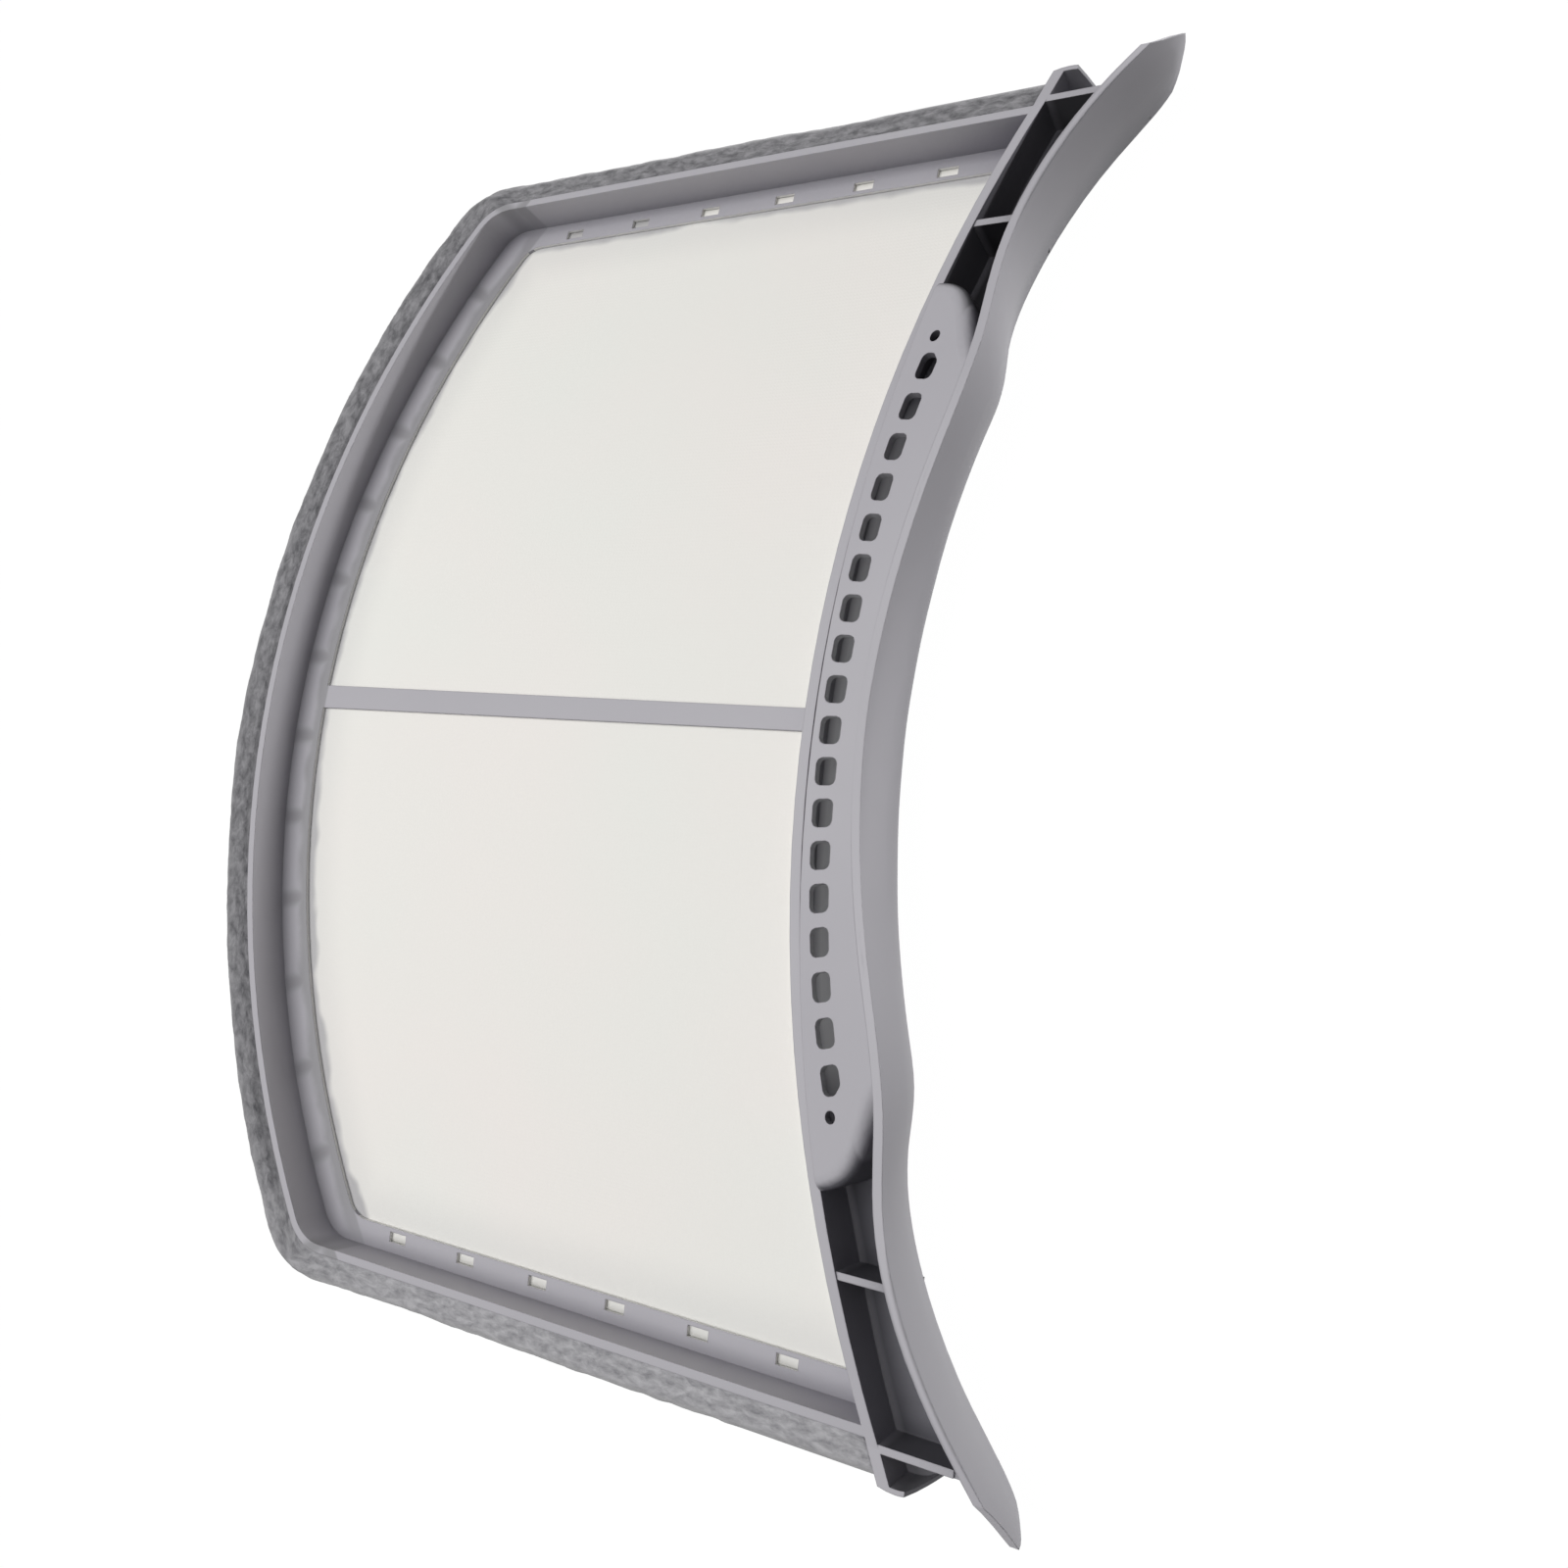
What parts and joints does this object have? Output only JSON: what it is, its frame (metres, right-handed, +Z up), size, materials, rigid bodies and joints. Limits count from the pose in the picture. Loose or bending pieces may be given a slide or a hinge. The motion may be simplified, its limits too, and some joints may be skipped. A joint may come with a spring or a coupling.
{
  "type": "tumble dryer lint filter",
  "caption": "Bowed lint filter panel for a tumble dryer door: shallow moulded tray with a fine mesh floor, a felt seal round its edge and a flared handle flange with a vented grille.",
  "frame": {"origin": "centre of the footprint, on the surface that the filter lies on", "axes": "+X along the chord of the panel, +Y from the curved bottom wall towards the handle, +Z up through the mesh and out of the open side of the tray"},
  "size_m": [0.301, 0.2354, 0.0282],
  "materials": {
    "grey_plastic": "satin moulded surface",
    "polyester_mesh": "fine plain weave, taut",
    "grey_felt": "needled felt, fuzzy"
  },
  "bodies": {
    "root": {"frame": "grey_plastic", "mesh": "polyester_mesh", "seal": "grey_felt"}
  },
  "joints": []
}
